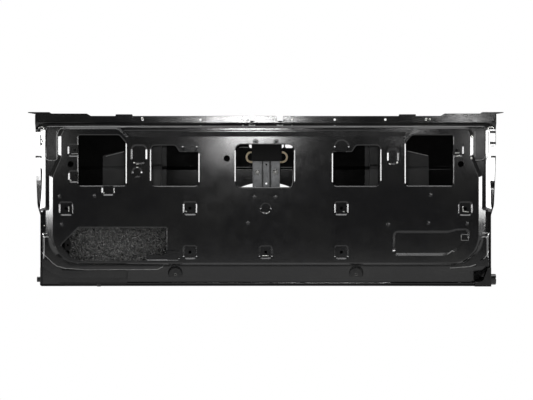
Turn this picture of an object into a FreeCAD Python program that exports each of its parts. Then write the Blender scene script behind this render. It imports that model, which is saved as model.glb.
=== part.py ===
# Pickup truck tailgate shell, seen from its cargo side. Sizes are in millimetres.
# X runs across the truck, Y from the cargo side to the outer side, and Z up.
# The origin is at the bottom centre of the whole shell.

import FreeCAD
import Part

import math
import os

Vector = FreeCAD.Vector

# Overall sizes
overall_depth = 96.0
half_width_top = 786.0
shell_top_z = 594.0

# Sheet metal
inner_sheet = 1.6
skin_sheet = 1.2
bracket_sheet = 3.0
light_sheet = 2.0
seam_gap = 0.2
hem_width = 7.0
flange_bottom_z = skin_sheet + seam_gap

# Crown of the outer side: how far the middle stands out past the ends
crown = 22.0

# Depths are measured from the face of the raised field towards the outer side
field_y = -overall_depth / 2
skin_y = overall_depth / 2
border_depth = 12.0
field_edge_round = 4.0
shelf_depth = 17.0
band_depth = 50.0
back_y = skin_y + 60.0

# How far the cutting tools reach past what they cut
tool_reach = 40.0


def at_depth(depth):
    """The Y of a plane that lies a given depth behind the raised field."""
    return field_y + depth


# Plain shape helpers

def turn_at(points, i):
    """Unit directions into and out of corner i of a 2-D outline, and their cross product."""
    before, here, after = points[i - 1], points[i], points[(i + 1) % len(points)]
    a = (here[0] - before[0], here[1] - before[1])
    b = (after[0] - here[0], after[1] - here[1])
    la = math.hypot(*a)
    lb = math.hypot(*b)
    a = (a[0] / la, a[1] / la)
    b = (b[0] / lb, b[1] / lb)
    return a, b, a[0] * b[1] - a[1] * b[0]


def grown(points, distance):
    """A closed counter-clockwise outline moved outwards, or inwards where distance is negative."""
    result = []
    for i, (u, v, r) in enumerate(points):
        a, b, cross = turn_at(points, i)
        dot = a[0] * b[0] + a[1] * b[1]
        k = distance / (1.0 + dot)
        moved = (u + k * (a[1] + b[1]), v - k * (a[0] + b[0]))
        radius = r + distance * (1 if cross > 0 else -1) if r else 0.0
        result.append((moved[0], moved[1], max(radius, 0.5) if r else 0.0))
    return result


def rounded_wire(points, place):
    """A closed wire through 2-D corners (u, v, radius), with a tangent arc at each rounded one."""
    starts = []
    ends = []
    mids = []
    for i, (u, v, r) in enumerate(points):
        a, b, cross = turn_at(points, i)
        if r == 0.0:
            starts.append((u, v))
            ends.append((u, v))
            mids.append(None)
            continue
        turn = math.asin(max(-1.0, min(1.0, cross)))
        if a[0] * b[0] + a[1] * b[1] < 0:
            turn = math.copysign(math.pi - abs(turn), turn)
        back = r * math.tan(abs(turn) / 2)
        starts.append((u - a[0] * back, v - a[1] * back))
        ends.append((u + b[0] * back, v + b[1] * back))
        inward = (b[0] - a[0], b[1] - a[1])
        size = math.hypot(*inward)
        reach = r / math.cos(turn / 2) - r
        mids.append((u + inward[0] / size * reach, v + inward[1] / size * reach))
    edges = []
    for i in range(len(points)):
        if mids[i]:
            edges.append(Part.Arc(place(*starts[i]), place(*mids[i]), place(*ends[i])).toShape())
        here = place(*ends[i])
        there = place(*starts[(i + 1) % len(points)])
        if here.distanceToPoint(there) > 1e-6:
            edges.append(Part.makeLine(here, there))
    return Part.Wire(edges)


def wire_at(points, y):
    return rounded_wire(points, lambda u, v: Vector(u, y, v))


def prism(points, y_front, y_back):
    """A straight block with the given XZ outline."""
    face = Part.Face(wire_at(points, y_front))
    return face.extrude(Vector(0, y_back - y_front, 0))


def frustum(front, back, y_front, y_back):
    """A block whose outline changes evenly from front to back."""
    return Part.makeLoft([wire_at(front, y_front), wire_at(back, y_back)], True, True)


def pocket(floor, y_surface, depth, run):
    """The tool for a pressed pocket: its floor outline, and sides that open by run over its depth."""
    slope = run / depth
    lead = 2.0
    mouth = grown(floor, run + slope * lead)
    return frustum(mouth, floor, y_surface - lead, y_surface + depth)


def rectangle(x, z, width, height, radius):
    w = width / 2
    h = height / 2
    return [(x - w, z - h, radius), (x + w, z - h, radius), (x + w, z + h, radius), (x - w, z + h, radius)]


def mirrored(points):
    """The same counter-clockwise outline on the other side of the truck."""
    return [(-u, v, r) for u, v, r in reversed(points)]


def both_sides(right_half):
    """A closed outline from its right half, given from the bottom to the top."""
    return list(right_half) + mirrored(right_half)


def round_edges(solid, y, radius):
    """Rounds the edges of a solid that lie in the plane at y."""
    edges = [e for e in solid.Edges if all(abs(v.Y - y) < 1e-6 for v in e.Vertexes)]
    return solid.makeFillet(radius, edges)


def cylinder_along_y(x, z, radius, y_front, y_back):
    return Part.makeCylinder(radius, y_back - y_front, Vector(x, y_front, z), Vector(0, 1, 0))


def box(x0, x1, y0, y1, z0, z1):
    return Part.makeBox(x1 - x0, y1 - y0, z1 - z0, Vector(x0, y0, z0))


def fused(solids):
    joined = solids[0].multiFuse(solids[1:]) if len(solids) > 1 else solids[0]
    return joined.removeSplitter()


# The crowned outer side: every layer of it is turned about one far vertical axis

crown_radius = half_width_top ** 2 / (2 * crown)
crown_axis_y = skin_y - crown_radius
crown_sweep_degrees = 2 * math.degrees(math.asin((half_width_top + 1.5 * tool_reach) / crown_radius))

hem_inset = 24.0
lower_face_inset = 7.0
ledge_low_z = 398.0
ledge_high_z = 409.0
upper_face_inset = 0.0
shoulder_z = shell_top_z - 58.0
shoulder_inset = 5.0
flange_foot_z = shell_top_z - 37.0

skin_profile = [
    (hem_inset, -10.0, 0.0),
    (hem_inset, flange_bottom_z + 10.0, 4.0),
    (lower_face_inset + 3.0, flange_bottom_z + 27.0, 14.0),
    (lower_face_inset, ledge_low_z, 4.0),
    (upper_face_inset, ledge_high_z, 4.0),
    (shoulder_inset, shoulder_z, 14.0),
    (hem_inset, flange_foot_z, 6.0),
    (hem_inset, shell_top_z + 20.0, 0.0),
]


def profile_line(gap):
    """The outer side's profile as (y, z, radius), moved a gap towards the cargo side."""
    line = [(skin_y - inset, z, r) for inset, z, r in skin_profile]
    moved = []
    for i, (y, z, r) in enumerate(line):
        if i in (0, len(line) - 1):
            moved.append((y - gap, z, 0.0))
            continue
        a, b, cross = turn_at(line, i)
        dot = a[0] * b[0] + a[1] * b[1]
        k = -gap / (1.0 + dot)
        radius = r + (gap if cross < 0 else -gap)
        moved.append((y + k * (a[1] + b[1]), z - k * (a[0] + b[0]), max(radius, 0.5)))
    return moved


def swept(points):
    """Turns a YZ outline about the crown's axis, across the whole width."""
    face = Part.Face(rounded_wire(points, lambda u, v: Vector(0, u, v)))
    axis = Vector(0, crown_axis_y, 0)
    face.rotate(axis, Vector(0, 0, 1), -crown_sweep_degrees / 2)
    return face.revolve(axis, Vector(0, 0, 1), crown_sweep_degrees)


def layer(gap_near, gap_far):
    """A sheet that follows the outer side, between two distances in from its outer face."""
    return swept(profile_line(gap_near) + list(reversed(profile_line(gap_far))))


def behind(gap):
    """Everything on the outer side of the surface that lies a gap in from the outer face."""
    line = profile_line(gap)
    return swept([(back_y, line[0][1], 0.0), (back_y, line[-1][1], 0.0)] + list(reversed(line)))


# Outline of the flanges, as seen from the cargo side, and the slots beside the latches

latch_slot_high_z = shell_top_z - 113.0
latch_slot_low_z = latch_slot_high_z - 36.0
latch_slot_x = half_width_top - 21.0
top_flange_end_z = shell_top_z - 6.0
top_flange_z = shell_top_z - 14.0
top_step_x = half_width_top - 174.0
waist_high_z = 276.0
waist_low_z = 242.0
half_width_waist = half_width_top - 7.0
half_width_low = half_width_top - 17.0

flange_outline = both_sides([
    (half_width_low, flange_bottom_z, 6.0),
    (half_width_low, waist_low_z, 30.0),
    (half_width_waist, waist_high_z, 60.0),
    (half_width_top, latch_slot_low_z - 3.0, 0.0),
    (half_width_top, top_flange_end_z, 6.0),
    (top_step_x, top_flange_end_z, 0.0),
    (top_step_x - 14.0, top_flange_z, 0.0),
])


# Steps of the inner panel, from the raised field outwards

field_half_width = half_width_top - 64.0
field_high_half_width = field_half_width - 29.0
field_top_z = shell_top_z - 58.0
field_centre_top_z = field_top_z - 27.0
diagonal_low_z = latch_slot_low_z - 73.0
field_side_run = 26.0
field_edge_run = 12.0
field_foot_depth = 24.0


def field_at(steps):
    """The field's outline at its face (0) or at the foot of its walls (1)."""
    side = field_side_run * steps
    edge = field_edge_run * steps
    return both_sides([
        (field_half_width + side, 80.0 - edge, 92.0 + edge),
        (field_half_width + side, diagonal_low_z + edge, 20.0),
        (field_high_half_width + side, diagonal_low_z + 68.0 + edge, 20.0),
        (field_high_half_width + side, field_top_z + edge, 26.0 + edge),
        (504.0 - edge, field_top_z + edge, 12.0),
        (474.0 - edge, field_centre_top_z + edge, 12.0),
    ])


# Along the middle of its top, the field first slopes away and then steps down to the border

slope_top_z = field_centre_top_z + 17.0
slope_depth = 6.0
slope_front = both_sides([(464.0, 470.0, 0.0), (464.0, field_centre_top_z, 4.0)])
slope_back = both_sides([(478.0, 460.0, 0.0), (478.0, slope_top_z, 4.0)])
step_front = both_sides([(482.0, 450.0, 0.0), (482.0, slope_top_z + 3.0, 4.0)])
step_back = both_sides([(490.0, 440.0, 0.0), (490.0, slope_top_z + 13.0, 4.0)])

# The border round the upper part of the field, and its broad drafted side walls

border_half_width = half_width_top - 37.0
border_top_z = shell_top_z - 49.0
border_low_z = 262.0
border_round = 9.0
border_side_run = 25.0
border_low_run = 11.0
border_top_run = 11.0


def border_at(depth):
    """The border's outline at a given depth."""
    steps = (depth - border_depth) / band_depth
    x = border_half_width + border_side_run * steps
    low = border_low_z - border_low_run * steps
    return both_sides([
        (field_half_width - 32.0, 120.0, 40.0),
        (field_half_width - 32.0, low - 12.0, 8.0),
        (x, low, 10.0 + 4.0 * steps),
        (x, border_top_z + border_top_run * steps, 14.0 + 4.0 * steps),
    ])


# The shelf and the sloping band below the field, and the flat side plates above their ends

shelf_half_width = half_width_top - 34.0
band_half_width = half_width_top - 24.0
side_plate_half_width = half_width_top - 29.0
shelf_outline = both_sides([
    (shelf_half_width - 52.0, 67.0, 20.0),
    (shelf_half_width, 108.0, 20.0),
    (shelf_half_width, 170.0, 5.0),
])
band_outline = both_sides([
    (band_half_width - 57.0, 15.0, 30.0),
    (band_half_width, 62.0, 30.0),
    (band_half_width, 184.0, 5.0),
])
side_plate_outline = both_sides([
    (side_plate_half_width - 57.0, 60.0, 5.0),
    (side_plate_half_width, 120.0, 5.0),
    (side_plate_half_width, border_low_z + 14.0, 5.0),
])
side_plate_depth = 30.0

# How much the steep lower walls open towards the flange
wall_draft = 6.0

latch_plate_outline = [
    (border_half_width - 37.0, 434.0, 5.0),
    (border_half_width - 5.0, 434.0, 5.0),
    (border_half_width - 5.0, border_top_z - 8.0, 8.0),
    (border_half_width - 37.0, border_top_z - 8.0, 12.0),
]
latch_plate_depth = 2.5
latch_plate_run = 2.0

# Openings of the inner panel, right-hand ones; the left ones mirror them

outboard_opening = [
    (475.0, 343.0, 8.0),
    (636.0, 343.0, 8.0),
    (636.0, 514.0, 6.0),
    (497.0, 514.0, 12.0),
    (475.0, 488.0, 12.0),
]
inboard_opening = [
    (228.0, 342.0, 14.0),
    (389.0, 342.0, 18.0),
    (389.0, 479.0, 14.0),
    (307.0, 479.0, 10.0),
    (293.0, 457.0, 6.0),
    (228.0, 457.0, 5.0),
]
centre_opening = rectangle(-3.0, 410.0, 198.0, 144.0, 20.0)
mat_opening = [
    (-694.0, 141.0, 6.0),
    (-660.0, 102.0, 14.0),
    (-625.0, 89.0, 14.0),
    (-404.0, 89.0, 4.0),
    (-404.0, 108.0, 3.0),
    (-337.0, 108.0, 4.0),
    (-337.0, 200.0, 4.0),
    (-636.0, 200.0, 6.0),
]
opening_lip_depth = 3.0
opening_lip_run = 3.5

# Pressed pads for the clips of the trim cover: centre X, centre Z and size

pads = [
    (-678.0, 265.0, 38.0),
    (678.0, 265.0, 38.0),
    (-257.0, 266.0, 38.0),
    (257.0, 266.0, 38.0),
    (-257.0, 117.0, 38.0),
    (257.0, 117.0, 38.0),
    (0.0, 117.0, 36.0),
]
pad_depth = 4.5
pad_run = 5.0
pad_corner = 5.0
clip_hole = 9.0
round_pad_z = 266.0
round_pad_radius = 14.0
corner_pad_x = 258.0
corner_pad_z = 474.0
corner_pad_radius = 21.0
round_play = 0.5
edge_pads = [
    (-535.0, 327.0, 34.0, 26.0),
    (-652.0, 463.0, 30.0, 34.0),
    (652.0, 463.0, 30.0, 34.0),
    (-652.0, 374.0, 26.0, 32.0),
]
rod_hole_reach = 20.0
rod_holes = [(-662.0, 416.0, 10.0), (662.0, 416.0, 10.0), (-132.0, 435.0, 11.0)]

# Pressed forms beside the inboard openings

module_pocket = rectangle(-430.0, 449.0, 44.0, 56.0, 12.0)
module_boss = rectangle(-437.0, 388.0, 24.0, 24.0, 10.0)
small_pocket = rectangle(432.0, 441.0, 28.0, 44.0, 9.0)
form_depth = 5.0
form_run = 6.0
handle_dimples_x = [-34.0, 36.0]
handle_dimples_z = 491.0
handle_dimple_size = 13.0
handle_dimple_depth = 3.0

# The long pocket at the lower right, and the small one beside the mat

long_pocket = [
    (440.0, 114.0, 10.0),
    (606.0, 114.0, 24.0),
    (648.0, 130.0, 24.0),
    (684.0, 164.0, 10.0),
    (684.0, 188.0, 6.0),
    (652.0, 188.0, 14.0),
    (622.0, 181.0, 14.0),
    (440.0, 181.0, 10.0),
]
long_pocket_depth = 8.0
long_pocket_run = 9.0
step_pocket = [(-420.0, 92.0, 4.0), (-296.0, 92.0, 4.0), (-296.0, 122.0, 10.0), (-420.0, 122.0, 4.0)]
step_pocket_depth = 3.0
step_pocket_run = 3.0

# Half-round recesses of the lower band, each with its bolt hole

band_boss_x = 308.0
band_boss_z = 40.0
band_boss_radius = 22.0
band_hole_radius = 4.0
band_boss_depth = 40.0
band_boss_run = 14.0
band_nut_radius = 8.0
band_nut_height = 7.0
band_nut_bore_radius = band_hole_radius - 0.5


def step_block(front, back, near, far, t):
    """One step of the panel: a block set in by t on every side and pushed back by t."""
    return frustum(grown(front, -t), grown(back, -t), at_depth(near + t), at_depth(far + t))


def inner_panel_form(t):
    """The panel's surface as a solid block, set back by t on every face."""
    deep = overall_depth + 10.0
    rim = field_foot_depth
    field = step_block(field_at(0.0), field_at(1.0), 0.0, rim, t)
    field = round_edges(field, at_depth(t), max(field_edge_round - t, 1.0))
    slope = step_block(slope_front, slope_back, 0.0, slope_depth, t)
    step = step_block(step_front, step_back, slope_depth, rim, t)
    border = step_block(border_at(border_depth), border_at(deep), border_depth, deep, t)
    border = round_edges(border, at_depth(border_depth + t), border_round - t)
    shelf = step_block(shelf_outline, band_outline, shelf_depth, band_depth, t)
    lower = step_block(band_outline, grown(band_outline, wall_draft), band_depth, deep, t)
    side_plate = step_block(side_plate_outline, grown(side_plate_outline, wall_draft),
                            side_plate_depth, deep, t)
    flange = behind(skin_sheet + seam_gap + inner_sheet - t)
    block = fused([flange, field, slope, step, border, shelf, lower, side_plate])
    return block.cut(Part.makeCompound(inner_panel_pockets(t)))


def inner_panel_pockets(t):
    """The tools for every recess that is pressed into the panel, for the surface set back by t."""
    tools = []
    face = at_depth(t)

    def press(floor, depth, run, y=face):
        tools.append(pocket(grown(floor, t), y, depth, run))

    for opening in (outboard_opening, mirrored(outboard_opening), inboard_opening,
                    mirrored(inboard_opening), centre_opening, mat_opening):
        press(opening, opening_lip_depth, opening_lip_run)
    for x, z, size in pads:
        press(rectangle(x, z, size, size, pad_corner), pad_depth, pad_run)
    for x, z, width, height in edge_pads:
        press(rectangle(x, z, width, height, pad_corner), pad_depth, pad_run)
    size = 2 * round_pad_radius
    press(rectangle(0.0, round_pad_z, size, size, round_pad_radius - round_play), pad_depth, pad_run)
    for side in (-1, 1):
        size = 2 * corner_pad_radius
        centre_x = side * corner_pad_x
        seat = rectangle(centre_x, corner_pad_z, size, size, corner_pad_radius - round_play)
        press(seat, pad_depth, pad_run)
        plate = latch_plate_outline if side > 0 else mirrored(latch_plate_outline)
        press(plate, latch_plate_depth, latch_plate_run, at_depth(border_depth + t))
        tools.append(band_recess(side, t))
    for x in handle_dimples_x:
        dimple = rectangle(x, handle_dimples_z, handle_dimple_size, handle_dimple_size, 6.0)
        press(dimple, handle_dimple_depth, handle_dimple_depth)
    for form in (module_pocket, module_boss, small_pocket):
        press(form, form_depth, form_run)
    press(long_pocket, long_pocket_depth, long_pocket_run)
    press(step_pocket, step_pocket_depth, step_pocket_run)
    return tools


def band_recess(side, t):
    """The flat round seat of a bolt in the sloping lower band."""
    y0 = at_depth(t)
    y1 = at_depth(band_boss_depth + t)
    return Part.makeCone(band_boss_radius + band_boss_run + t, band_boss_radius + t, y1 - y0,
                         Vector(side * band_boss_x, y0, band_boss_z), Vector(0, 1, 0))


# Holes and notches of the top flange, through both sheets

flange_hole_z = 569.0
flange_hole_radius = 4.0
flange_holes_x = [-421.0, -223.0, -78.0, 236.0, 409.0, 548.0]
flange_notches = [(-58.0, -36.0), (38.0, 59.0)]
flange_notch_z = 564.0

# Openings of the outer side

handle_x = 3.5
handle_z = 441.0
handle_hole_width = 96.0
handle_hole_height = 27.0
seal_length = 145.0
seal_height = 40.0
seal_width = 6.5
seal_depth = 4.0
upper_slot = rectangle(2.5, 482.0, 119.0, 19.0, 6.0)
cable_slot = rectangle(80.0, 480.0, 27.0, 15.0, 6.0)
arch_half_width = 96.0
arch_bottom_z = 262.0
arch_side_z = 333.0
arch_top_z = 355.0
arch_corner = 10.0

# Pieces behind the centre opening

box_x0 = -48.0
box_x1 = 55.0
box_z0 = 427.0
box_z1 = 491.0
box_front_depth = 34.0
box_wall = 2.5
strap_sheet = 2.5
strap_depth = 40.0
strap_foot_z = 320.0
strap_foot_height = 26.0
straps = {
    "left": (-45.0, -12.5),
    "middle": (-9.0, 13.0),
    "right": (18.0, 48.5),
}
strap_holes_z = (415.0, 350.0)
strap_hole_radius = 3.2
strap_bolt_z = 389.0
strap_bolt_radius = 9.5
strap_bolt_head = 6.0
strap_plate_sheet = 1.5
strap_plate_low_z = strap_foot_z + 8.0
strap_plate_hole_radius = 5.0
strap_bolt_play = 0.3
strap_bolt_reach = 6.0
strap_bend_radius = 0.5

# Reinforcements bonded to the outer skin, right-hand ones

patch_outline = [(430.0, 296.0, 8.0), (558.0, 296.0, 8.0), (558.0, 446.0, 4.0), (484.0, 463.0, 8.0),
                 (430.0, 463.0, 8.0)]
latch_reinforcement_outline = [
    (646.0, 400.0, 4.0),
    (border_half_width - 4.0, 400.0, 4.0),
    (border_half_width - 4.0, border_top_z - 11.0, 4.0),
    (646.0, border_top_z - 11.0, 4.0),
]
stiffener_x = 370.0
stiffener_low_z = 220.0
stiffener_high_z = 524.0
stiffener_width = 60.0
stiffener_foot = 16.0
stiffener_height = 22.0

# Pieces at the lower corners

corner_plate_sheet = 2.5
corner_plate_depth = 38.0
corner_plate_end_x = -(half_width_top - 23.0 - seam_gap)
corner_plate_inner_x = -473.0
stop_x = -567.0
stop_radius = 7.0
stop_height = 8.0
corner_plate_foot_x = corner_plate_end_x + 60.0
corner_plate_outline = [
    (corner_plate_end_x, stop_height, 0.0),
    (corner_plate_inner_x, stop_height, 0.0),
    (corner_plate_inner_x, 29.0, 0.0),
    (corner_plate_end_x + 67.0, 29.0, 20.0),
    (corner_plate_end_x + 13.0, 60.0, 20.0),
    (corner_plate_end_x, 70.0, 0.0),
]
stop_depth = 20.0
foot_front_depth = 8.0
bracket_inner_x = half_width_top - 23.0
bracket_top_z = 64.0
bracket_foot_length = 52.0
bracket_front_outline = [
    (bracket_inner_x - bracket_foot_length, 0.0, 0.0),
    (bracket_inner_x + bracket_sheet, 0.0, 0.0),
    (bracket_inner_x + bracket_sheet, bracket_top_z, 0.0),
    (bracket_inner_x - 8.0, bracket_top_z, 0.0),
    (bracket_inner_x - 24.0, 20.0, 10.0),
    (bracket_inner_x - bracket_foot_length, 12.0, 0.0),
]
pivot_depth = 27.0
pivot_z = 24.0
pivot_pin_radius = 18.5
pivot_pin_length = 17.0
pivot_stub_radius = 9.0
pivot_stub_length = 12.0
pivot_pin_chamfer = 1.5
pivot_stub_flat = 0.6 * pivot_stub_radius

# Wings and tabs at the top

wing_root_x = half_width_top - 96.0
wing_tip_x = half_width_top + 25.0
wing_outline = [
    (wing_root_x, flange_foot_z + 6.0, 6.0),
    (half_width_top - 6.0, flange_foot_z + 6.0, 6.0),
    (half_width_top - 2.0, top_flange_end_z - 1.5, 0.0),
    (wing_tip_x, shell_top_z - 2.5, 0.0),
    (wing_tip_x, shell_top_z, 0.0),
    (half_width_top - 48.0, shell_top_z, 10.0),
    (half_width_top - 56.0, top_flange_end_z, 10.0),
    (wing_root_x, top_flange_end_z - 1.0, 6.0),
]
tab_outline = [(455.0, 560.0, 6.0), (513.0, 560.0, 6.0), (513.0, 587.0, 3.0), (455.0, 587.0, 3.0)]
tab_hole_x = 493.0
tab_hole_z = 575.0
tab_hole_radius = 3.5

# Damping sheet on the outer skin, seen through the mat opening

damping_outline = [
    (-672.0, 66.0, 10.0),
    (-322.0, 66.0, 10.0),
    (-322.0, 214.0, 10.0),
    (-672.0, 214.0, 10.0),
]
damping_thickness = 3.0

# Rod guide at the pointed end of the mat opening

guide_x = -672.0
guide_z = 141.0
guide_width = 20.0
guide_height = 36.0
guide_corner = 8.0
guide_depth = 12.0
guide_hole_radius = 4.0


def through(points):
    """A tool of the given outline that cuts every layer."""
    return prism(points, field_y - tool_reach, back_y)


def latch_slot(side):
    """The tool that opens the hem beside the latch, through every layer."""
    far = half_width_top + tool_reach
    x0 = latch_slot_x if side > 0 else -far
    x1 = far if side > 0 else -latch_slot_x
    return box(x0, x1, field_y - tool_reach, back_y, latch_slot_low_z, latch_slot_high_z)


def flange_cutters():
    """Holes and notches that go through both sheets of the top flange."""
    cutters = [latch_slot(-1), latch_slot(1)]
    for x in flange_holes_x:
        cutters.append(cylinder_along_y(x, flange_hole_z, flange_hole_radius, field_y, back_y))
    for x0, x1 in flange_notches:
        cutters.append(box(x0, x1, field_y, back_y, flange_notch_z, shell_top_z + 20.0))
    return cutters


def inner_panel(form):
    sheet = form.cut(inner_panel_form(inner_sheet))
    sheet = sheet.common(through(flange_outline))
    cutters = [through(outboard_opening), through(mirrored(outboard_opening)),
               through(inboard_opening), through(mirrored(inboard_opening)),
               through(centre_opening), through(mat_opening)]
    for x, z, size in pads:
        cutters.append(through(rectangle(x, z, clip_hole, clip_hole, 1.0)))
    for x, z, radius in rod_holes:
        cutters.append(cylinder_along_y(x, z, radius, field_y - tool_reach, field_y + rod_hole_reach))
    for side in (-1, 1):
        cutters.append(cylinder_along_y(side * band_boss_x, band_boss_z, band_hole_radius,
                                        field_y, at_depth(band_boss_depth + 10.0)))
    cutters.extend(flange_cutters())
    return sheet.cut(Part.makeCompound(cutters))


hem_stack = skin_sheet + seam_gap + inner_sheet + seam_gap
hem_total = hem_stack + skin_sheet


# The folded edge runs up to hem_top_z; its lip is left out round the waist
hem_top_z = shoulder_z - 20.0
hem_lip_low_z = waist_low_z - 90.0
hem_lip_high_z = waist_high_z + 38.0


def hem_zone(z0, z1):
    reach = half_width_top + tool_reach
    return box(-reach, reach, field_y - tool_reach, back_y, z0, z1)


def outer_skin():
    """The outer sheet, folded round the inner panel's flange along its sides and bottom."""
    outline = grown(flange_outline, flange_bottom_z)
    sheet = layer(0.0, skin_sheet).common(through(outline))
    low_zone = hem_zone(-tool_reach, hem_lip_low_z)
    high_zone = hem_zone(hem_lip_high_z, hem_top_z)
    edge_zone = hem_zone(-tool_reach, hem_top_z)
    ring = through(outline).cut(through(grown(flange_outline, seam_gap)))
    edge = layer(0.0, hem_total).common(ring.common(edge_zone))
    lip_ring = through(outline).cut(through(grown(flange_outline, flange_bottom_z - hem_width)))
    lips = layer(hem_stack, hem_total).common(lip_ring.common(Part.makeCompound([low_zone, high_zone])))
    skin = fused([sheet, edge, lips])
    hole = rectangle(handle_x, handle_z, handle_hole_width, handle_hole_height,
                     handle_hole_height / 2 - seam_gap)
    rise = arch_top_z - arch_side_z
    arch_radius = (arch_half_width ** 2 + rise ** 2) / (2 * rise)
    arch = box(-arch_half_width, arch_half_width, 0.0, back_y, arch_bottom_z, arch_top_z)
    arch = arch.common(cylinder_along_y(0.0, arch_top_z - arch_radius, arch_radius, 0.0, back_y))
    arch = arch.makeFillet(arch_corner, [e for e in arch.Edges if e.BoundBox.YLength > back_y - 1.0])
    cutters = [through(hole), through(upper_slot), through(cable_slot), arch] + flange_cutters()
    return skin.cut(Part.makeCompound(cutters))


def on_skin(points, gap, thickness):
    """A sheet of the given outline that follows the skin's inner face."""
    near = skin_sheet + gap
    return layer(near, near + thickness).common(through(points))


def sided(points, side):
    return points if side > 0 else mirrored(points)


def wing_tip(side):
    return layer(hem_stack, hem_stack + light_sheet).common(through(sided(wing_outline, side)))


def rail_tab(side):
    tab = layer(hem_stack, hem_stack + light_sheet).common(through(sided(tab_outline, side)))
    return tab.cut(cylinder_along_y(side * tab_hole_x, tab_hole_z, tab_hole_radius, field_y, back_y))


def latch_reinforcements():
    """The plates behind the upper corners, which follow the inner panel's back."""
    near = inner_sheet + seam_gap
    sheet = inner_panel_form(near).cut(inner_panel_form(near + light_sheet))
    x, z, radius = rod_holes[1]
    plates = []
    for side in (-1, 1):
        plate = sheet.common(through(sided(latch_reinforcement_outline, side)))
        plates.append(plate.cut(cylinder_along_y(side * x, z, radius + 2.0, field_y, field_y + tool_reach)))
    return plates


def corner_plate(form):
    """The plate over the lower left corner, with a foot that carries the rubber stop."""
    front = at_depth(corner_plate_depth)
    plate = prism(corner_plate_outline, front, front + corner_plate_sheet)
    foot = box(corner_plate_foot_x, corner_plate_inner_x, at_depth(foot_front_depth),
               front + corner_plate_sheet, stop_height, stop_height + corner_plate_sheet)
    plate = fused([plate, foot])
    plate = plate.cut(behind(hem_total + seam_gap))
    return plate.cut(form.translated(Vector(0, -seam_gap, 0)))


def bottom_stop():
    return Part.makeCylinder(stop_radius, stop_height, Vector(stop_x, at_depth(stop_depth), 0.0))


def hinge_bracket(form, side):
    """The side plate that carries the pivot; the right one also has a front gusset and a foot."""
    x0 = bracket_inner_x
    x1 = bracket_inner_x + bracket_sheet
    y0 = at_depth(foot_front_depth)
    low = 0.0 if side > 0 else stop_height
    pieces = [box(x0, x1, y0, skin_y, low, bracket_top_z)]
    if side > 0:
        pieces.append(prism(bracket_front_outline, y0, y0 + bracket_sheet))
        pieces.append(box(x0 - bracket_foot_length, x1, y0, skin_y, 0.0, bracket_sheet))
    bracket = fused(pieces)
    if side < 0:
        bracket = bracket.mirror(Vector(0, 0, 0), Vector(1, 0, 0))
    bracket = bracket.cut(behind(hem_total + seam_gap))
    return bracket.cut(form.translated(Vector(0, -seam_gap, 0)))


def pivot_pin():
    start = Vector(bracket_inner_x + bracket_sheet, at_depth(pivot_depth), pivot_z)
    pin = Part.makeCylinder(pivot_pin_radius, pivot_pin_length, start, Vector(1, 0, 0))
    far_edge = [e for e in pin.Edges if abs(e.BoundBox.XMin - start.x - pivot_pin_length) < 1e-3]
    return pin.makeChamfer(pivot_pin_chamfer, far_edge[:1])


def pivot_stub():
    x = -(bracket_inner_x + bracket_sheet)
    stub = Part.makeCylinder(pivot_stub_radius, pivot_stub_length,
                             Vector(x, at_depth(pivot_depth), pivot_z), Vector(-1, 0, 0))
    y = at_depth(pivot_depth)
    return stub.common(box(x - 20.0, x, y - 20.0, y + pivot_stub_flat, 0.0, 60.0))


def seal_ring():
    outer = rectangle(handle_x, handle_z, seal_length, seal_height, seal_height / 2 - seam_gap)
    inner = grown(outer, -seal_width)
    return on_skin(outer, seam_gap, seal_depth).cut(through(inner))


def handle_box():
    block = box(box_x0, box_x1, at_depth(box_front_depth), skin_y, box_z0, box_z1)
    block = block.cut(behind(skin_sheet + seam_gap + seal_depth + seam_gap))
    inside = box(box_x0 + box_wall, box_x1 - box_wall, at_depth(box_front_depth) + box_wall, back_y,
                 box_z0 + box_wall, box_z1 - box_wall)
    return block.cut(inside)


def handle_strap(name):
    """A flat strap below the handle box, bent forward to a foot on the inner panel's back."""
    x0, x1 = straps[name]
    y0 = at_depth(strap_depth)
    y_foot = at_depth(inner_sheet + seam_gap)
    t = strap_sheet
    outline = [
        (y0, box_z0 - seam_gap, 0.0),
        (y0, strap_foot_z + t, strap_bend_radius),
        (y_foot, strap_foot_z + t, t + strap_bend_radius),
        (y_foot, strap_foot_z - strap_foot_height, 0.0),
        (y_foot + t, strap_foot_z - strap_foot_height, 0.0),
        (y_foot + t, strap_foot_z, strap_bend_radius),
        (y0 + t, strap_foot_z, t + strap_bend_radius),
        (y0 + t, box_z0 - seam_gap, 0.0),
    ]
    face = Part.Face(rounded_wire(outline, lambda u, v: Vector(x0, u, v)))
    strap = face.extrude(Vector(x1 - x0, 0, 0))
    x = (x0 + x1) / 2
    holes = [(x, z) for z in strap_holes_z] if name == "middle" else [(x, strap_bolt_z)]
    for hx, z in holes:
        strap = strap.cut(cylinder_along_y(hx, z, strap_hole_radius, y0 - 10.0, y0 + 10.0))
    return strap


def strap_plate():
    """The black plate that the three straps lie on."""
    y0 = at_depth(strap_depth) + strap_sheet + seam_gap
    x0 = straps["left"][0]
    x1 = straps["right"][1]
    plate = box(x0, x1, y0, y0 + strap_plate_sheet, strap_plate_low_z, box_z0 - seam_gap)
    for z in strap_holes_z:
        plate = plate.cut(cylinder_along_y(sum(straps["middle"]) / 2, z, strap_plate_hole_radius,
                                           y0 - 5.0, y0 + 5.0))
    for name in ("left", "right"):
        plate = plate.cut(cylinder_along_y(sum(straps[name]) / 2, strap_bolt_z, strap_hole_radius,
                                           y0 - 5.0, y0 + 5.0))
    return plate


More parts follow.
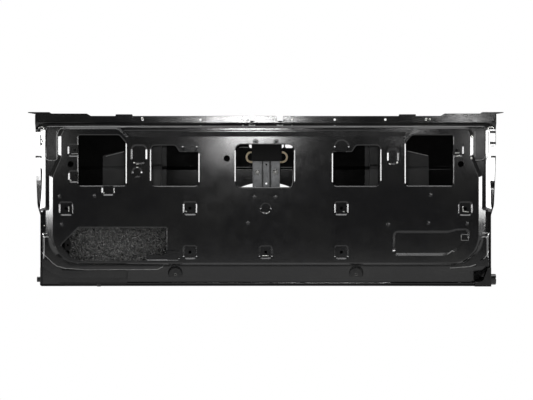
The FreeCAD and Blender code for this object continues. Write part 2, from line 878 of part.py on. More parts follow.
def strap_bolts():
    bolts = []
    for name in ("left", "right"):
        x = sum(straps[name]) / 2
        y0 = at_depth(strap_depth)
        head = cylinder_along_y(x, strap_bolt_z, strap_bolt_radius, y0 - strap_bolt_head, y0)
        shank = cylinder_along_y(x, strap_bolt_z, strap_hole_radius - strap_bolt_play,
                                 y0, y0 + strap_sheet + strap_bolt_reach)
        bolts.append(fused([head, shank]))
    return Part.makeCompound(bolts)


def stiffener(side):
    """A hat-section post bonded to the outer skin."""
    height = stiffener_high_z - stiffener_low_z
    z = (stiffener_high_z + stiffener_low_z) / 2
    x = side * stiffener_x
    near = skin_sheet + seam_gap
    wide = rectangle(x, z, stiffener_width, height, 0.0)
    crest = rectangle(x, z, stiffener_width - 2 * stiffener_foot, height, 0.0)
    hollow = rectangle(x, z, stiffener_width - 2 * stiffener_foot - 2 * light_sheet, height + 2.0, 0.0)
    feet = layer(near, near + light_sheet).common(through(wide))
    hat = layer(near, near + stiffener_height).common(through(crest))
    post = fused([feet, hat])
    return post.cut(layer(0.0, near + stiffener_height - light_sheet).common(through(hollow)))


def rod_guide():
    y0 = at_depth(opening_lip_depth + inner_sheet + seam_gap)
    outline = rectangle(guide_x, guide_z, guide_width, guide_height, guide_corner)
    guide = prism(outline, y0, y0 + guide_depth)
    hole = cylinder_along_y(guide_x, guide_z, guide_hole_radius, y0 - 1.0, y0 + guide_depth + 1.0)
    return guide.cut(hole)


def band_nuts():
    nuts = []
    for side in (-1, 1):
        y0 = at_depth(band_boss_depth) + inner_sheet + seam_gap
        x = side * band_boss_x
        nut = cylinder_along_y(x, band_boss_z, band_nut_radius, y0, y0 + band_nut_height)
        bore = cylinder_along_y(x, band_boss_z, band_nut_bore_radius, y0 - 1.0, y0 + band_nut_height + 1.0)
        nuts.append(nut.cut(bore))
    return Part.makeCompound(nuts)


def build():
    form = inner_panel_form(0.0)
    left_plate, right_plate = latch_reinforcements()
    damping = on_skin(damping_outline, seam_gap, damping_thickness)
    parts = {
        "inner_panel": inner_panel(form),
        "outer_skin": outer_skin(),
        "wing_tip_left": wing_tip(-1),
        "wing_tip_right": wing_tip(1),
        "rail_tab_left": rail_tab(-1),
        "rail_tab_right": rail_tab(1),
        "latch_reinforcement_left": left_plate,
        "latch_reinforcement_right": right_plate,
        "corner_plate_left": corner_plate(form),
        "bottom_stop": bottom_stop(),
        "hinge_bracket_left": hinge_bracket(form, -1),
        "hinge_bracket_right": hinge_bracket(form, 1),
        "pivot_stub_left": pivot_stub(),
        "pivot_pin_right": pivot_pin(),
        "handle_seal": seal_ring(),
        "handle_box": handle_box(),
        "handle_strap_left": handle_strap("left"),
        "handle_strap_middle": handle_strap("middle"),
        "handle_strap_right": handle_strap("right"),
        "strap_plate": strap_plate(),
        "strap_bolts": strap_bolts(),
        "skin_patch_left": on_skin(mirrored(patch_outline), seam_gap, light_sheet),
        "skin_patch_right": on_skin(patch_outline, seam_gap, light_sheet),
        "skin_stiffener_left": stiffener(-1),
        "skin_stiffener_right": stiffener(1),
        "damping_sheet": damping,
        "rod_guide": rod_guide(),
        "band_nuts": band_nuts(),
    }
    return parts


os.makedirs("parts", exist_ok=True)
for name, shape in build().items():
    shape.exportStep("parts/" + name + ".step")
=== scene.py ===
# Pickup truck tailgate shell, seen from its cargo side, in black primer.

import math

import bmesh
import bpy
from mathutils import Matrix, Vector


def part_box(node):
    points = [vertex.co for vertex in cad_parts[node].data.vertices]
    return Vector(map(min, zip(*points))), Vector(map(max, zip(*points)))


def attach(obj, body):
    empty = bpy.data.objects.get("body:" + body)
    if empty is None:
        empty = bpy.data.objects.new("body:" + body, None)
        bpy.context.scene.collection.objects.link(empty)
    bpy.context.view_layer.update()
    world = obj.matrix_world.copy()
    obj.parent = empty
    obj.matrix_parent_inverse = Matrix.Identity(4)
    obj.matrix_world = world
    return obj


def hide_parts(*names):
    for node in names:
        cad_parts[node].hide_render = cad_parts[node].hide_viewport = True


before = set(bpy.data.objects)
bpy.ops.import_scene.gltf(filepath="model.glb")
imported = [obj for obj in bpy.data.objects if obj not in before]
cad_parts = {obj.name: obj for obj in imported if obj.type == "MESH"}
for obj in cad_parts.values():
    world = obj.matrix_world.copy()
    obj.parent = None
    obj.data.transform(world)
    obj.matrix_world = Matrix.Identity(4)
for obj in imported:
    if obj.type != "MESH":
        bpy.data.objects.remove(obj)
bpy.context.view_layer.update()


# The stamped inner panel and its brackets are deep-drawn steel in black electrocoat: a thin, even,
# semi-gloss film. It has a faint orange peel, follows the waviness of the sheet, and holds dry dust in
# places. Small pips from the press tool stand in the field.

def new_material(name, colour, roughness, metallic=0.0):
    """A plain shader with a colour, and its node tree."""
    material = bpy.data.materials.new(name)
    material.use_nodes = True
    tree = material.node_tree
    shader = next(node for node in tree.nodes if node.type == "BSDF_PRINCIPLED")
    shader.inputs["Base Color"].default_value = (*colour, 1.0)
    shader.inputs["Roughness"].default_value = roughness
    shader.inputs["Metallic"].default_value = metallic
    shader.inputs["IOR"].default_value = 1.5
    return material, tree, shader


def place_noise(tree, scale, detail=4.0, rough=0.6, stretch=(1.0, 1.0, 1.0)):
    """Noise in the object's own metres."""
    where = tree.nodes.new("ShaderNodeTexCoord")
    mapping = tree.nodes.new("ShaderNodeMapping")
    mapping.inputs["Scale"].default_value = stretch
    noise = tree.nodes.new("ShaderNodeTexNoise")
    noise.inputs["Scale"].default_value = scale
    noise.inputs["Detail"].default_value = detail
    noise.inputs["Roughness"].default_value = rough
    tree.links.new(where.outputs["Object"], mapping.inputs["Vector"])
    tree.links.new(mapping.outputs["Vector"], noise.inputs["Vector"])
    return noise.outputs["Fac"]


def spread(tree, value, low, high, from_low=0.3, from_high=0.7):
    """A value mapped from one range to another."""
    node = tree.nodes.new("ShaderNodeMapRange")
    node.inputs["From Min"].default_value = from_low
    node.inputs["From Max"].default_value = from_high
    node.inputs["To Min"].default_value = low
    node.inputs["To Max"].default_value = high
    tree.links.new(value, node.inputs["Value"])
    return node.outputs["Result"]


def combined(tree, operation, a, b):
    """Two values joined by a maths operation."""
    node = tree.nodes.new("ShaderNodeMath")
    node.operation = operation
    tree.links.new(a, node.inputs[0])
    tree.links.new(b, node.inputs[1])
    return node.outputs[0]


def blend(tree, shader, factor, colour_a, colour_b):
    """The shader's colour blended between two colours."""
    mix = tree.nodes.new("ShaderNodeMix")
    mix.data_type = "RGBA"
    mix.inputs[6].default_value = (*colour_a, 1.0)
    mix.inputs[7].default_value = (*colour_b, 1.0)
    tree.links.new(factor, mix.inputs[0])
    tree.links.new(mix.outputs[2], shader.inputs["Base Color"])


def bumped(tree, shader, height, strength, distance, before=None):
    """Bump from a height, in metres, on top of an earlier bump."""
    bump = tree.nodes.new("ShaderNodeBump")
    bump.inputs["Strength"].default_value = strength
    bump.inputs["Distance"].default_value = distance
    tree.links.new(height, bump.inputs["Height"])
    if before:
        tree.links.new(before, bump.inputs["Normal"])
    tree.links.new(bump.outputs["Normal"], shader.inputs["Normal"])
    return bump.outputs["Normal"]


def round_marks(tree, places, radius, y):
    """A height of 1 at each place on the plane at y, falling to 0 over the radius."""
    where = tree.nodes.new("ShaderNodeTexCoord")
    height = None
    for x, z in places:
        distance = tree.nodes.new("ShaderNodeVectorMath")
        distance.operation = "DISTANCE"
        distance.inputs[1].default_value = (x, y, z)
        tree.links.new(where.outputs["Object"], distance.inputs[0])
        mark = spread(tree, distance.outputs["Value"], 1.0, 0.0, 0.0, radius)
        height = mark if height is None else combined(tree, "MAXIMUM", height, mark)
    return height


coat_shine = 0.36


def electrocoat(name, dust):
    """Black primer on sheet steel, with some dry dust on it."""
    material, tree, shader = new_material(name, (0.005, 0.005, 0.0053), 0.12)
    shader.inputs["Specular IOR Level"].default_value = coat_shine
    blend(tree, shader, spread(tree, place_noise(tree, 5.0, 6.0), 0.0, 1.0, 0.45, 0.75),
          (0.0045, 0.0045, 0.0048), (dust, dust, dust * 0.95))
    fine = place_noise(tree, 26.0, 6.0)
    tree.links.new(spread(tree, fine, 0.09, 0.14), shader.inputs["Roughness"])
    wave = bumped(tree, shader, place_noise(tree, 7.0, 1.0), 0.25, 0.0012)
    return material, tree, shader, wave


def dress(names, material):
    """One material on whole nodes of the model."""
    for name in names:
        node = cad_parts[name]
        node.data.materials.clear()
        node.data.materials.append(material)


field_y = -0.048
pip_radius = 0.0065
pips = [(-0.699, 0.306), (-0.691, 0.211), (-0.580, 0.308), (-0.038, 0.304), (0.033, 0.304),
        (0.416, 0.211), (0.559, 0.311), (0.683, 0.214), (0.552, 0.216), (-0.060, 0.216)]

coat, tree, shader, wave = electrocoat("black_electrocoat", 0.009)
bumped(tree, shader, place_noise(tree, 480.0, 2.0), 0.12, 0.0002, wave)
dress(["wing_tip_left", "wing_tip_right", "rail_tab_left", "rail_tab_right",
       "latch_reinforcement_left", "latch_reinforcement_right", "corner_plate_left",
       "hinge_bracket_left", "pivot_stub_left", "pivot_pin_right"], coat)

panel_coat, tree, shader, wave = electrocoat("panel_electrocoat", 0.009)
peel = bumped(tree, shader, place_noise(tree, 480.0, 2.0), 0.12, 0.0002, wave)
bumped(tree, shader, round_marks(tree, pips, pip_radius, field_y), 1.0, 0.003, peel)
dress(["inner_panel"], panel_coat)


# The outer skin takes the same coat. Its inner face, seen through the openings, is painted darker and
# given less shine as painted shade inside the shell; the pieces bonded there take a dull finish for the
# same shade.

skin_coat, tree, shader, wave = electrocoat("skin_electrocoat", 0.009)
bumped(tree, shader, place_noise(tree, 480.0, 2.0), 0.12, 0.0002, wave)
# Painted shade: the forward-facing inner face of the skin is darkened and its shine lowered.
geometry = tree.nodes.new("ShaderNodeNewGeometry")
parts_of = tree.nodes.new("ShaderNodeSeparateXYZ")
tree.links.new(geometry.outputs["True Normal"], parts_of.inputs["Vector"])
unshaded_side = spread(tree, parts_of.outputs["Y"], 0.0, 1.0, -0.75, -0.65)
blend(tree, shader, unshaded_side, (0.0015, 0.0015, 0.0015), (0.007, 0.007, 0.0074))
tree.links.new(spread(tree, unshaded_side, 0.08, coat_shine, 0.0, 1.0), shader.inputs["Specular IOR Level"])
dress(["outer_skin"], skin_coat)

# A dull near-black finish whose low shine is painted shade, for the pieces inside the shell.
shade_dull_coat, tree, shader = new_material("painted_shade_electrocoat", (0.006, 0.006, 0.006), 0.4)
shader.inputs["Specular IOR Level"].default_value = 0.2
tree.links.new(spread(tree, place_noise(tree, 30.0), 0.3, 0.5), shader.inputs["Roughness"])
bumped(tree, shader, place_noise(tree, 300.0, 2.0), 0.2, 0.0002)
dress(["skin_patch_left", "skin_patch_right", "skin_stiffener_left", "skin_stiffener_right"],
      shade_dull_coat)


# Three handle straps of thicker, greyer steel lie on a plate in the dull near-black finish that stands in
# for shade, so the gaps between them look dark. Their edges are rolled forward, and each outer strap is
# held by a flanged hexagon bolt.

strap_coat, tree, shader = new_material("strap_coat", (0.075, 0.077, 0.078), 0.4, 0.2)
tree.links.new(spread(tree, place_noise(tree, 60.0), 0.3, 0.5), shader.inputs["Roughness"])
blend(tree, shader, spread(tree, place_noise(tree, 45.0, 5.0), 0.0, 1.0),
      (0.045, 0.046, 0.048), (0.10, 0.102, 0.105))
bumped(tree, shader, place_noise(tree, 120.0, 4.0), 0.35, 0.0006)
dress(["handle_strap_left", "handle_strap_middle", "handle_strap_right"], strap_coat)
# The strap plate and the right hinge bracket take the same dull finish as painted shade.
dress(["strap_plate", "hinge_bracket_right"], shade_dull_coat)


def kept(obj, material):
    """A new piece of the shell, with its finish."""
    obj.data.materials.append(material)
    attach(obj, "root")
    return obj


def from_bmesh(name, bm, crease_degrees=35.0):
    """An object from a bmesh, smooth except at its creases."""
    mesh = bpy.data.meshes.new(name)
    bmesh.ops.recalc_face_normals(bm, faces=bm.faces)
    bm.to_mesh(mesh)
    bm.free()
    mesh.polygons.foreach_set("use_smooth", [True] * len(mesh.polygons))
    mesh.set_sharp_from_angle(angle=math.radians(crease_degrees))
    obj = bpy.data.objects.new(name, mesh)
    bpy.context.collection.objects.link(obj)
    return obj


def tubes(name, lines, radius, material, roundness=3):
    """Round bars along lines of points."""
    curve = bpy.data.curves.new(name, "CURVE")
    curve.dimensions = "3D"
    curve.bevel_depth = radius
    curve.bevel_resolution = roundness
    curve.use_fill_caps = True
    for line in lines:
        spline = curve.splines.new("POLY")
        spline.points.add(len(line) - 1)
        for point, place in zip(spline.points, line):
            point.co = (*place, 1.0)
    obj = bpy.data.objects.new(name, curve)
    bpy.context.collection.objects.link(obj)
    return kept(obj, material)


def turned(bm, centre, profile, sides=32):
    """Adds a body turned about the Y axis: its profile is (radius, y) from front to back."""
    x, z = centre
    rings = []
    for radius, y in profile:
        ring = []
        for k in range(sides):
            a = 2 * math.pi * k / sides
            ring.append(bm.verts.new((x + radius * math.cos(a), y, z + radius * math.sin(a))))
        rings.append(ring)
    for near, far in zip(rings, rings[1:]):
        for k in range(sides):
            n = (k + 1) % sides
            bm.faces.new((near[k], near[n], far[n], far[k]))
    bm.faces.new(rings[0])
    bm.faces.new(list(reversed(rings[-1])))


strap_low_z = 0.327
strap_front_y = -0.008
strap_edge_radius = 0.0011
for name in ("left", "middle", "right"):
    low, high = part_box("handle_strap_" + name)
    left_x = low[0] + strap_edge_radius
    right_x = high[0] - strap_edge_radius
    top_z = high[2] - strap_edge_radius
    corners = [(left_x, strap_front_y, strap_low_z), (left_x, strap_front_y, top_z),
               (right_x, strap_front_y, top_z), (right_x, strap_front_y, strap_low_z)]
    tubes("strap_edge_" + name, [corners], strap_edge_radius, strap_coat)

bolt_steel, tree, shader = new_material("bolt_steel", (0.16, 0.16, 0.155), 0.28, 1.0)
tree.links.new(spread(tree, place_noise(tree, 150.0), 0.2, 0.4), shader.inputs["Roughness"])
bolts = bmesh.new()
bolt_flange_radius = 0.0095
bolt_flange = [(0.0075, -0.0106), (0.0092, -0.0098), (0.0095, -0.0083), (0.0095, -0.008),
               (0.0029, -0.0079), (0.0029, 0.0004)]
bolt_head = [(0.0040, -0.0139), (0.0058, -0.0137), (0.0068, -0.0130), (0.0068, -0.0104)]
bolt_dimple = [(0.0030, -0.0132), (0.0034, -0.0141), (0.0028, -0.0142)]
low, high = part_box("strap_bolts")
bolt_z = (low[2] + high[2]) / 2
for bolt_x in (low[0] + bolt_flange_radius, high[0] - bolt_flange_radius):
    turned(bolts, (bolt_x, bolt_z), bolt_flange)
    turned(bolts, (bolt_x, bolt_z), bolt_head, 6)
    turned(bolts, (bolt_x, bolt_z), bolt_dimple, 24)
bolts = kept(from_bmesh("strap_hexagon_bolts", bolts), bolt_steel)
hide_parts("strap_bolts")

zinc, tree, shader = new_material("zinc_plate", (0.42, 0.42, 0.40), 0.3, 1.0)
tree.links.new(spread(tree, place_noise(tree, 150.0), 0.24, 0.4), shader.inputs["Roughness"])
dress(["band_nuts"], zinc)


# The handle opening has a ring of tan foam round a black moulded box.

foam, tree, shader = new_material("seal_foam", (0.42, 0.34, 0.23), 0.85)
blend(tree, shader, spread(tree, place_noise(tree, 90.0), 0.0, 1.0), (0.52, 0.42, 0.28), (0.78, 0.66, 0.47))
bumped(tree, shader, place_noise(tree, 700.0, 3.0), 0.5, 0.0006)
dress(["handle_seal"], foam)

# Black moulding for the plastic parts; the same material makes beads and discs painted as shade.
black_moulding_and_shade, tree, shader = new_material("black_moulding_and_painted_shade", (0.0015, 0.0015, 0.0015), 0.6)
shader.inputs["Specular IOR Level"].default_value = 0.1
bumped(tree, shader, place_noise(tree, 800.0, 2.0), 0.2, 0.0002)
dress(["handle_box", "rod_guide"], black_moulding_and_shade)

rubber, tree, shader = new_material("black_rubber", (0.014, 0.014, 0.014), 0.6)
dress(["bottom_stop"], rubber)


# The skin is pressed to a curved rim above its arch-shaped opening: two ridges in the same sheet and
# primer that follow the arch and show to both sides of the straps.

arch_centre_z = 0.1345
arch_rim_half_width = 0.092
arch_rim_steps = 12
skin_inside_y = 0.0365
for name, radius in (("low", 0.2405), ("high", 0.2505)):
    rim = []
    for k in range(-arch_rim_steps, arch_rim_steps + 1):
        x = arch_rim_half_width * k / arch_rim_steps
        rim.append((x, skin_inside_y, arch_centre_z + math.sqrt(radius ** 2 - x ** 2)))
    tubes("arch_rim_" + name, [rim], 0.0014, coat)


# Two black plastic plugs close the dimples above the handle opening. Each is a moulded cone with a
# small flat tip, pushed in from the front.

plug_z = 0.491
plug_cone = [(0.0012, -0.0477), (0.0026, -0.0474), (0.0048, -0.0462), (0.0056, -0.0452), (0.0056, -0.0445)]
plugs = bmesh.new()
for plug_x in (-0.034, 0.036):
    turned(plugs, (plug_x, plug_z), plug_cone)
plugs = kept(from_bmesh("dimple_plugs", plugs), coat)


# A sheet of tar-like damping mat is stuck to the inside of the skin, behind the large opening. It is
# glossy, and it wrinkled as it was pressed down.

mat, tree, shader = new_material("damping_mat", (0.012, 0.012, 0.013), 0.25)
shader.inputs["Specular IOR Level"].default_value = 0.8
# The light specks blended into its colour are painted glints of its glossy surface.
glint_specks = place_noise(tree, 210.0, 3.0)
blend(tree, shader, spread(tree, glint_specks, 0.0, 1.0, 0.5, 0.72), (0.008, 0.008, 0.008), (0.17, 0.17, 0.16))
tree.links.new(spread(tree, place_noise(tree, 40.0), 0.16, 0.34), shader.inputs["Roughness"])
wrinkle = bumped(tree, shader, place_noise(tree, 26.0, 4.0, 0.6, (0.3, 1.0, 2.4)), 1.0, 0.012)
bumped(tree, shader, place_noise(tree, 170.0, 2.0, 0.6, (0.7, 1.0, 1.0)), 1.0, 0.006, wrinkle)
dress(["damping_sheet"], mat)


# The press folds small beads and seams into the panel's corners, pockets and side flanges. They are the
# panel's own steel and primer; where they stand proud some are painted light grey as their highlights,
# and each follows the face it lies on.

front_limit = -0.0479
metres_per_pixel = 0.0034
centre_column = 265.7
floor_row = 286.5
bead_step = 0.005
bead_rise = 0.3


def spot(column, row):
    """A place on the shell, from its column and row in the picture, in metres."""
    return (column - centre_column) * metres_per_pixel, (floor_row - row) * metres_per_pixel


def front_of(x, z):
    """The y of the shell's front face at a place, and 0 where there is none."""
    nearest = None
    for name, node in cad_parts.items():
        if node.type != "MESH" or name == "strap_bolts":
            continue
        back = node.matrix_world.inverted()
        start = back @ Vector((x, -1.0, z))
        found, place, _, _ = node.ray_cast(start, back.to_3x3() @ Vector((0, 1, 0)))
        if found:
            y = (node.matrix_world @ place).y
            nearest = y if nearest is None else min(nearest, y)
    return 0.0 if nearest is None else nearest


def ridges(name, lines, radius, material, depth=None):
    """Round beads along lines of places, on the front face or at a given depth."""
    beads = []
    for line in lines:
        places = [Vector(spot(*place)) for place in line]
        points = [places[0]]
        for a, b in zip(places, places[1:]):
            count = max(1, round((b - a).length / bead_step))
            points += [a.lerp(b, k / count) for k in range(1, count + 1)]
        bead = []
        for x, z in points:
            y = front_of(x, z) if depth is None else depth
            bead.append((x, max(y - bead_rise * radius, front_limit + radius), z))
        beads.append(bead)
    return tubes(name, beads, radius, material, 2)


# A light grey painted on thin edges and beads as their highlights, mottled at random.
highlight_edge_coat, tree, shader = new_material("painted_highlight_edge", (0.14, 0.14, 0.138), 0.35)
highlight_mottle = spread(tree, place_noise(tree, 80.0, 4.0), 0.0, 1.0)
blend(tree, shader, highlight_mottle, (0.09, 0.09, 0.09), (0.2, 0.2, 0.195))
bumped(tree, shader, place_noise(tree, 200.0), 0.3, 0.0004)

ridges("lower_corner_beads",
       [[(50, 238.5), (53, 243), (57, 249.5), (62, 255.5), (68, 261), (74, 264.3), (81, 266)],
        [(54, 239), (57.5, 245), (61.5, 251), (66.5, 256.5), (72.5, 261), (79, 264)],
        [(480.5, 240), (476.5, 250), (470, 257.5), (463.5, 262.5), (457, 265)],
        [(477, 239), (473.5, 246.5), (467, 254), (460, 259.5)]], 0.0019, coat)
ridges("corner_borders",
       [[(41.5, 253), (47, 257.2), (52, 262.5), (57, 266.2), (66, 268.5), (87, 269.8), (126, 269.6),
         (158, 269.4), (163, 266.6)],
        [(489.5, 251), (484.5, 258.5), (477.5, 264), (470, 266.5), (450, 268)]], 0.0013, highlight_edge_coat)
ridges("side_ledge_lines",
       [[(43, 233.6), (47, 233.6)], [(42.8, 237), (49, 237)], [(482, 233), (488, 233)],
        [(481, 237), (488, 237)]], 0.0017, highlight_edge_coat)
ridges("pocket_seam",
       [[(447, 254.2), (449.5, 252.6), (452, 250.7), (454.3, 252), (457, 251.2), (460, 249.4), (465, 245.6),
         (470.3, 241.6)]], 0.0016, highlight_edge_coat)
ridges("pocket_tab",
       [[(461, 234.5), (468, 234.5), (468, 240.3), (461, 240.3), (461, 234.5)]], 0.0009, highlight_edge_coat)
ridges("latch_outlines",
       [[(45.6, 134), (45.4, 156.5), (46.6, 159.3), (49, 160.4), (55, 160.4), (57.1, 159.3), (57.8, 156.8),
         (57.8, 135), (58.6, 131), (60.8, 128.9), (64, 128)],
        [(485.2, 131), (485.2, 156), (483.8, 159), (481, 160.2), (475, 160.2)]], 0.0010, highlight_edge_coat)
ridges("latch_gap",
       [[(488.9, 131.5), (488.7, 152), (487.8, 157.0), (486, 159.8), (474.8, 161.6)]], 0.0012, black_moulding_and_shade)


# The bolt rings, spring hooks, screw heads and clips of the latches and trim pads are zinc plated. Black
# rubber stops lie between them, with flat black discs painted as the shade in open clip holes.

def ellipse(column, row, across, up):
    """The places of a closed ring."""
    steps = 16
    turns = [2 * math.pi * k / steps for k in range(steps + 1)]
    return [(column + across * math.cos(a), row + up * math.sin(a)) for a in turns]


def domes(name, places, material):
    """Round heads of the given radius, each on the face that carries it."""
    bm = bmesh.new()
    for column, row, radius in places:
        x, z = spot(column, row)
        base = front_of(x, z)
        top = max(base - 0.6 * radius, front_limit)
        high = base - top
        profile = [(0.25 * radius, top), (0.6 * radius, top + 0.15 * high),
                   (0.88 * radius, top + 0.45 * high), (radius, base), (radius, base + 0.0008)]
        turned(bm, (x, z), profile, 24)
    return kept(from_bmesh(name, bm, 60.0), material)


def discs(name, places, material):
    """Flat dark caps, each flush with the face that carries it, painted as the shade in open holes."""
    bm = bmesh.new()
    for column, row, radius in places:
        x, z = spot(column, row)
        base = front_of(x, z)
        turned(bm, (x, z), [(radius, max(base - 0.0004, front_limit)), (radius, base + 0.001)], 20)
    return kept(from_bmesh(name, bm), material)


ridges("latch_rings",
       [ellipse(40.5, 128.5, 3.2, 1.9), ellipse(491.6, 128.3, 3.3, 1.9),
        [(35.2, 139.4), (38.6, 139.0), (41.2, 139.8), (42.9, 142.2)]], 0.0019, zinc)
ridges("latch_stops",
       [[(36.2, 143.2), (40.5, 143.8)], [(36.5, 157.3), (40.0, 156.8)], [(493.0, 144.9), (495.6, 144.7)],
        [(492.4, 157.6), (495.4, 157.8)]], 0.0036, rubber)

domes("zinc_heads",
      [(137.7, 165.8, 0.0068), (134.4, 163.0, 0.003), (141.5, 186.9, 0.0055), (148.2, 183.0, 0.0042),
       (397.0, 162.8, 0.0042), (389.5, 164.3, 0.0028), (471.4, 136.6, 0.0045), (470.8, 158.2, 0.0045),
       (104.0, 193.0, 0.003), (70.9, 180.6, 0.003), (186.5, 211.5, 0.0024), (343.8, 211.6, 0.0024),
       (141.8, 118.2, 0.005), (426.8, 118.7, 0.0044), (430.6, 119.0, 0.0036), (44.0, 225.7, 0.002),
       (484.5, 225.7, 0.002)], zinc)
ridges("spring_clips",
       [[(69.3, 206.6), (69.3, 211.8)], [(462.4, 206.4), (462.6, 211.4), (468.4, 212.0)],
        [(262.0, 255.7), (268.3, 255.7)], [(114.6, 188.2), (114.6, 192.4)],
        [(454.5, 153.3), (459.0, 152.9)], [(455.5, 156.4), (460.0, 155.8)],
        [(260.6, 211.0), (262.2, 213.0), (265.2, 214.2), (268.2, 213.0), (269.6, 211.2)],
        [(292.2, 117.4), (292.2, 120.4)]], 0.0016, zinc)
ridges("pad_bars",
       [[(71.8, 153.9), (78.4, 153.9)], [(72.3, 158.4), (78.0, 158.4)],
        [(454.6, 159.3), (461.8, 159.3)]], 0.0015, highlight_edge_coat)
discs("clip_hole_shade",
      [(75.2, 150.2, 0.005), (76.3, 175.8, 0.005), (109.0, 189.7, 0.0055), (456.2, 150.5, 0.005),
       (131.0, 164.5, 0.004)], black_moulding_and_shade)


# Inside the shell the sheared edges of the patches, the ledge over the arch and the handle rail are painted
# a lighter grey as their highlights, and so is the rim of the centre opening. The bottoms of the top
# notches are black beads painted as their shade.

ledge_y = skin_inside_y - 0.002
opening_lip_y = -0.0452
top_flange_y = 0.0195
ridges("patch_edges",
       [[(104.5, 155.9), (123.2, 151.2)], [(408.4, 150.6), (429.4, 155.4)]], 0.0013, highlight_edge_coat)
ridges("ledge_edges",
       [[(236, 167.1), (252.3, 167.1)], [(236, 169.5), (252.3, 169.5)], [(280.8, 167.1), (292.5, 167.1)],
        [(280.8, 169.5), (292.5, 169.5)], [(239, 146.9), (248, 146.9)]],
       0.0016, highlight_edge_coat, ledge_y)
ridges("opening_edge",
       [[(235.0, 152), (234.6, 182), (236, 186.4), (240, 188.4), (288, 188.4), (291.6, 186.4), (292.8, 182),
         (294.2, 152)]], 0.0008, highlight_edge_coat, opening_lip_y)
# Black beads painted as the shade at the bottoms of the top notches.
ridges("notch_bottom_shade",
       [[(250.2, 121.1), (253.8, 121.1)], [(278.7, 121.1), (282.3, 121.1)]],
       0.0024, black_moulding_and_shade, top_flange_y)


# Gussets of thick sheet close the two lower corners in front of the hinge pockets, and a closing plate
# lies over the seam of the left one. They are welded on before the shell is primed.

gusset_front_y = -0.0285
gusset_back_y = -0.009
closing_front_y = -0.0275
closing_back_y = -0.008
band_front_y = -0.0312
band_top_row = 266.5
band_slope = 0.00215


def solid(bm, near_corners, far_corners):
    """Adds a body between a front and a back outline."""
    near = [bm.verts.new(corner) for corner in near_corners]
    far = [bm.verts.new(corner) for corner in far_corners]
    bm.faces.new(near)
    bm.faces.new(list(reversed(far)))
    for k in range(len(near)):
        n = (k + 1) % len(near)
        bm.faces.new((near[k], far[k], far[n], near[n]))


def on_band(row):
    """The y of the lower band, which slopes back below its top row."""
    return band_front_y + band_slope * max(0.0, row - band_top_row)


def block(bm, places, back, front=None):
    """Adds a body on an outline of places, with its front flat or on the lower band."""
    outline = []
    for column, row in places:
        x, z = spot(column, row)
        outline.append((x, on_band(row) if front is None else front, z))
    solid(bm, outline, [(x, back, z) for x, _, z in outline])


gussets = bmesh.new()
block(gussets, [(62, 270.4), (126.6, 270.4), (126.6, 277.8), (62, 277.8)], closing_back_y, closing_front_y)
block(gussets, [(42, 258.8), (48, 260), (53, 264), (58, 267.2), (62, 268.6), (62, 277.8), (55, 274.6),
                (45, 268.6), (42, 266)], gusset_back_y, gusset_front_y)
block(gussets, [(466, 266.5), (488.2, 266.5), (486.6, 270), (483.5, 274), (479, 278.5), (475.5, 281),
                (466, 281)], -0.0005)
block(gussets, [(476, 261.5), (483, 259.6), (488.6, 257), (488.6, 266.5), (476, 266.5)], -0.012)
gussets = kept(from_bmesh("lower_corner_gussets", gussets), coat)


# The flanges at both sides are folded over the skin, and a sloped fillet of sealer, primed like the steel,
# fills each seam. It stops at the open latch slot and narrows where the side bends in lower down.

seam_inner_y = -0.005
seam_outer_y = 0.0135
seam_thickness = 0.0015
seam_steps = 12
seam_taper = 1.6
latch_rows = (129.0, 145.5)
side_rows = (157.5, 212.0)


def seam_fillet(bm, inner, outer, rows, bow):
    """Adds a sloped strip between two lines, given by their columns at the first and the last row."""
    lines = []
    for k in range(seam_steps + 1):
        t = k / seam_steps
        row = rows[0] + (rows[1] - rows[0]) * t
        line = []
        for ends, y in ((inner, seam_inner_y), (outer, seam_outer_y)):
            column = ends[0] + (ends[1] - ends[0]) * t ** seam_taper + 4 * bow * t * (1 - t)
            x, z = spot(column, row)
            line.append((x, y, z))
        lines.append(line)
    for (inner_a, outer_a), (inner_b, outer_b) in zip(lines, lines[1:]):
        outline = (inner_a, outer_a, outer_b, inner_b)
        solid(bm, outline, [(x, y + seam_thickness, z) for x, y, z in outline])


fillets = bmesh.new()
seam_fillet(fillets, (39.5, 39.5), (34.3, 34.3), latch_rows, 0.0)
seam_fillet(fillets, (39.8, 42.2), (34.5, 38.6), side_rows, -0.35)
seam_fillet(fillets, (490.8, 490.8), (496.7, 496.7), latch_rows, 0.0)
seam_fillet(fillets, (490.6, 487.6), (496.2, 492.8), side_rows, 0.35)
bmesh.ops.remove_doubles(fillets, verts=fillets.verts, dist=0.00001)
fillets = kept(from_bmesh("side_seam_fillets", fillets), coat)


# Studio: white paper under the part and a white backdrop behind it. Tall lamps stand level with the
# part at both sides and behind it, so that its pressed edges shine and its flat faces stay dark.

def white_paper(name, level):
    """White where the camera, a mirror or glass looks at it, and plain paint for other light."""
    material = bpy.data.materials.new(name)
    material.use_nodes = True
    tree = material.node_tree
    tree.nodes.clear()
    out = tree.nodes.new("ShaderNodeOutputMaterial")
    mix = tree.nodes.new("ShaderNodeMixShader")
    paint = tree.nodes.new("ShaderNodeBsdfDiffuse")
    paint.inputs["Color"].default_value = (level, level, level, 1.0)
    glow = tree.nodes.new("ShaderNodeEmission")
    glow.inputs["Color"].default_value = (1.0, 1.0, 1.0, 1.0)
    path = tree.nodes.new("ShaderNodeLightPath")
    seen = combined(tree, "MAXIMUM", path.outputs["Is Camera Ray"], path.outputs["Is Transmission Ray"])
    seen = combined(tree, "MAXIMUM", seen, path.outputs["Is Glossy Ray"])
    tree.links.new(seen, mix.inputs["Fac"])
    tree.links.new(paint.outputs["BSDF"], mix.inputs[1])
    tree.links.new(glow.outputs["Emission"], mix.inputs[2])
    tree.links.new(mix.outputs["Shader"], out.inputs["Surface"])
    return material


floor_size = 7.0
bpy.ops.mesh.primitive_plane_add(size=floor_size, location=(0.0, 0.0, 0.0))
floor = bpy.context.object
floor.name = "studio_floor"
floor.data.materials.append(white_paper("floor_white", 0.8))

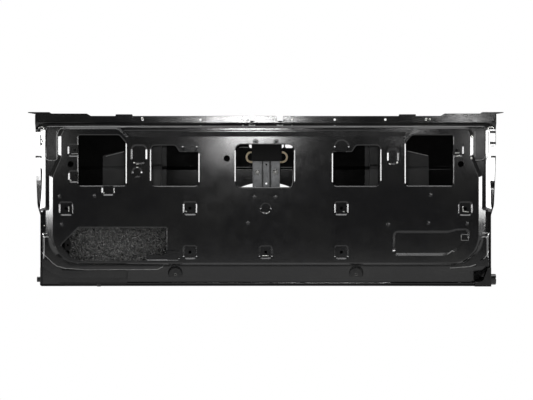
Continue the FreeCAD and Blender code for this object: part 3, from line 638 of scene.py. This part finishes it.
room_level = 0.08
world = bpy.data.worlds.new("studio")
bpy.context.scene.world = world
world.use_nodes = True
tree = world.node_tree
background = tree.nodes["Background"]
background.inputs["Color"].default_value = (1.0, 1.0, 1.0, 1.0)
path = tree.nodes.new("ShaderNodeLightPath")
direction = tree.nodes.new("ShaderNodeTexCoord")
parts_of = tree.nodes.new("ShaderNodeSeparateXYZ")
tree.links.new(direction.outputs["Generated"], parts_of.inputs["Vector"])
behind = spread(tree, parts_of.outputs["Y"], 0.0, 1.0, 0.15, 0.35)
mirror = combined(tree, "MAXIMUM", path.outputs["Is Glossy Ray"], path.outputs["Is Transmission Ray"])
white = combined(tree, "MAXIMUM", path.outputs["Is Camera Ray"],
                 combined(tree, "MULTIPLY", mirror, behind))
tree.links.new(spread(tree, white, room_level, 1.0, 0.0, 1.0), background.inputs["Strength"])


def softbox(name, place, target, width, height, brightness):
    """A rectangular lamp whose face has the given brightness, where 1 is white."""
    light = bpy.data.lights.new(name, "AREA")
    light.shape = "RECTANGLE"
    light.size = width
    light.size_y = height
    light.energy = math.pi * width * height * brightness
    lamp = bpy.data.objects.new(name, light)
    bpy.context.collection.objects.link(lamp)
    lamp.location = place
    aim = Vector(target) - Vector(place)
    lamp.rotation_euler = aim.to_track_quat("-Z", "Y").to_euler()
    lamp.visible_camera = False
    return lamp


for side in (-1, 1):
    name = "left" if side < 0 else "right"
    softbox(name + "_strip", (3.0 * side, -0.2, 0.435), (0.0, -0.2, 0.435), 1.3, 0.40, 30.0)
    softbox(name + "_rear", (2.5 * side, 1.9, 0.435), (0.0, 0.0, 0.435), 1.6, 0.42, 14.0)
    softbox(name + "_front", (2.7 * side, -2.0, 1.5), (0.0, 0.0, 0.3), 1.1, 1.6, 6.0)
softbox("over_strip", (0.0, 0.0, 3.0), (0.0, 0.0, 0.3), 5.0, 0.9, 7.0)
softbox("over_front", (0.0, -2.0, 3.0), (0.0, 0.0, 0.3), 1.8, 0.9, 8.0)
softbox("plateau_high_box", (-0.055, -2.5, 0.570), (-0.055, 0.0, 0.570), 0.25, 0.060, 44.0)
softbox("plateau_low_box", (-0.165, -2.5, 0.510), (-0.165, 0.0, 0.510), 0.22, 0.100, 8.0)
softbox("flange_box", (-0.060, -2.5, 0.662), (-0.060, 0.0, 0.662), 0.23, 0.050, 140.0)
softbox("flange_left_box", (-0.245, -2.5, 0.662), (-0.245, 0.0, 0.662), 0.10, 0.040, 6.0)
softbox("flange_right_box", (0.640, -2.5, 0.660), (0.640, 0.0, 0.660), 0.11, 0.040, 48.0)
softbox("latch_left_box", (-0.955, -2.5, 0.540), (-0.955, 0.0, 0.540), 0.10, 0.16, 2.6)
softbox("latch_right_box", (0.955, -2.5, 0.545), (0.955, 0.0, 0.545), 0.14, 0.16, 4.4)


# Camera: straight on at half the shell's height, as in the photograph, and far enough away for the
# raised field and the flanges to come out at one scale.

view_distance = 8.0
scale_plane_y = -0.03
picture_columns = 533
metres_across = picture_columns * metres_per_pixel
camera = bpy.data.objects.new("camera", bpy.data.cameras.new("camera"))
bpy.context.collection.objects.link(camera)
camera.location = (0.0027, -view_distance, 0.294)
camera.rotation_euler = (math.radians(90.0), 0.0, 0.0)
camera.data.sensor_width = 36.0
camera.data.lens = camera.data.sensor_width * (view_distance + scale_plane_y) / metres_across
camera.data.clip_end = 60.0
bpy.context.scene.camera = camera
bpy.context.scene.view_settings.view_transform = "Standard"
